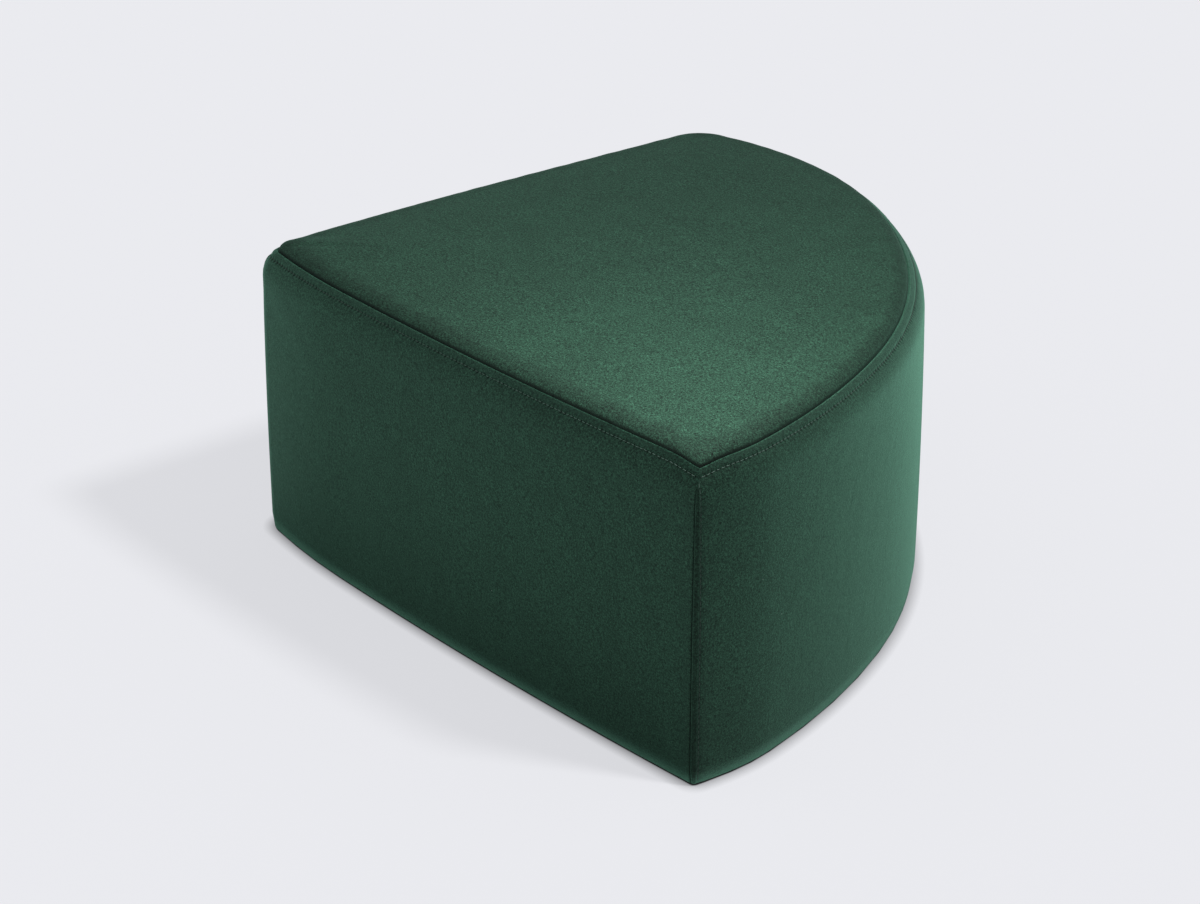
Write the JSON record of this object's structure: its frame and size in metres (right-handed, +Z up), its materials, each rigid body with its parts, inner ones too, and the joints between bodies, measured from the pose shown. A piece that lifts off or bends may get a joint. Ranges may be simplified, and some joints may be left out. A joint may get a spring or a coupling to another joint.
{
  "type": "half-moon pouf",
  "caption": "Low filled velvet pouf with a flat front, one long curved side, a softly crowned top and topstitched seams",
  "frame": {"origin": "middle of the box around the footprint, on the floor", "axes": "+X along the flat front towards its seamed right corner, +Y from the flat front to the back, +Z up"},
  "size_m": [0.7132, 0.651, 0.33],
  "materials": {
    "velvet": "short cut-pile velvet, dark green, matte with a soft sheen",
    "base_cloth": "plain dark non-woven base cloth, matte"
  },
  "bodies": {
    "root": {"filled_body": "velvet", "top_panel": "velvet", "front_panel": "velvet", "side_band": "velvet", "base_panel": "base_cloth"}
  },
  "joints": []
}
